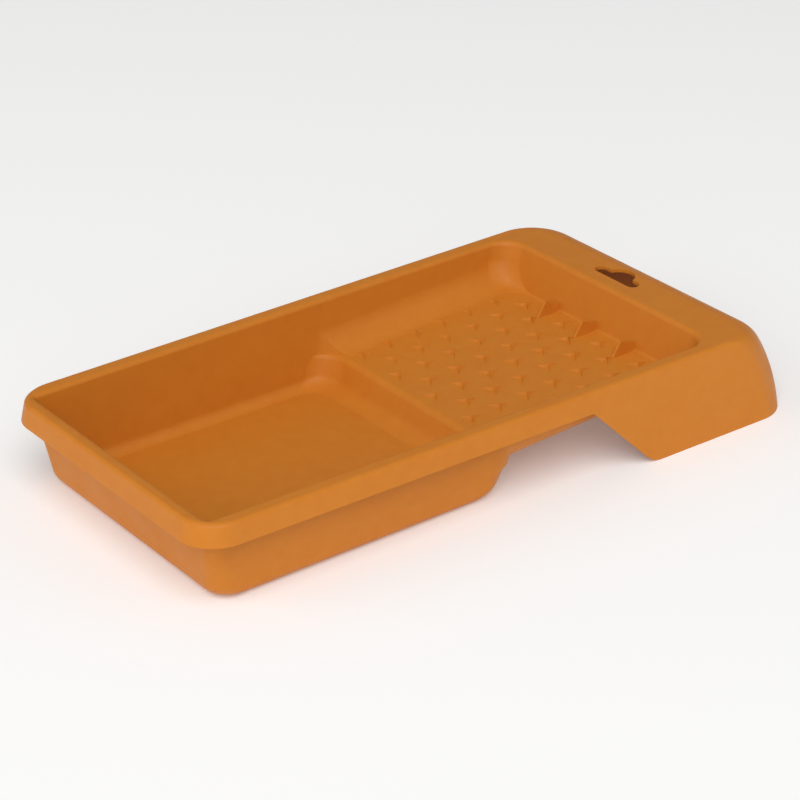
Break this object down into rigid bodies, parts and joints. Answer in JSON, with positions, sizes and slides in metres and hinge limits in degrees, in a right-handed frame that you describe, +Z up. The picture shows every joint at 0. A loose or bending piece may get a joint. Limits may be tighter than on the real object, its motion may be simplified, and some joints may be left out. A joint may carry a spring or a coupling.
{
  "type": "paint roller tray",
  "caption": "Small moulded plastic tray for a mini paint roller: a deep well, a textured ramp, a rim with a lip, rear legs and a hanging slot",
  "frame": {"origin": "on the ground, under the middle of the tray's bounding box", "axes": "+X runs from the paint well to the hanging end, +Y to the left of someone looking along +X, +Z up"},
  "size_m": [0.32, 0.17, 0.042],
  "materials": {
    "orange_plastic": "satin orange moulded polypropylene"
  },
  "bodies": {
    "root": {"front_left_corner": "orange_plastic", "front_right_corner": "orange_plastic", "front_rim": "orange_plastic", "hanging_shelf": "orange_plastic", "left_leg": "orange_plastic", "left_lip": "orange_plastic", "left_rim": "orange_plastic", "ramp_end_wall": "orange_plastic", "ramp_gusset_left": "orange_plastic", "ramp_gusset_middle": "orange_plastic", "ramp_gusset_right": "orange_plastic", "ramp_left_wall": "orange_plastic", "ramp_panel": "orange_plastic", "ramp_right_wall": "orange_plastic", "rear_left_corner": "orange_plastic", "rear_right_corner": "orange_plastic", "rear_skirt": "orange_plastic", "right_leg": "orange_plastic", "right_lip": "orange_plastic", "right_rim": "orange_plastic", "step_left_end": "orange_plastic", "step_right_end": "orange_plastic", "well_floor": "orange_plastic", "well_front_wall": "orange_plastic", "well_left_corner": "orange_plastic", "well_left_wall": "orange_plastic", "well_right_corner": "orange_plastic", "well_right_wall": "orange_plastic", "well_step": "orange_plastic"}
  },
  "joints": []
}
